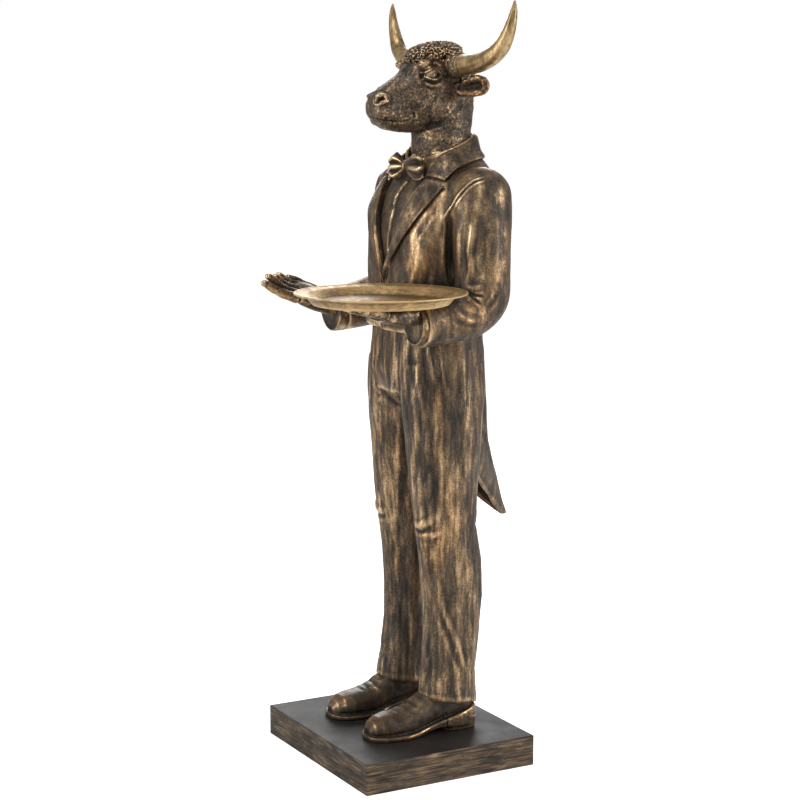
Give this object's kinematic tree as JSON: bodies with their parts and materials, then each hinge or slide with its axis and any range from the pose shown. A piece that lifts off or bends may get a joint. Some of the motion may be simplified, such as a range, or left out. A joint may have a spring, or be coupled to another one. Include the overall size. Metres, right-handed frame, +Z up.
{
  "type": "animal waiter statue",
  "caption": "Bull-headed waiter in a tailcoat and bow tie, standing on a block plinth, one open hand held out and a round tray resting on the other.",
  "frame": {"origin": "centre of the plinth's underside", "axes": "+Z up; the figure faces -Y; its left hand, with the tray, is at +X"},
  "size_m": [0.5818, 0.5425, 1.4515],
  "materials": {
    "plinth": "dark bronze-look paint with brushed gold streaks on the sides, satin",
    "figure": "bronze-look paint on cast resin, dark in the hollows and rubbed gold on the raised parts",
    "tray": "satin old gold paint with faint darker brush marks"
  },
  "bodies": {
    "root": {"plinth": "plinth", "figure": "figure", "tray": "tray"}
  },
  "joints": []
}
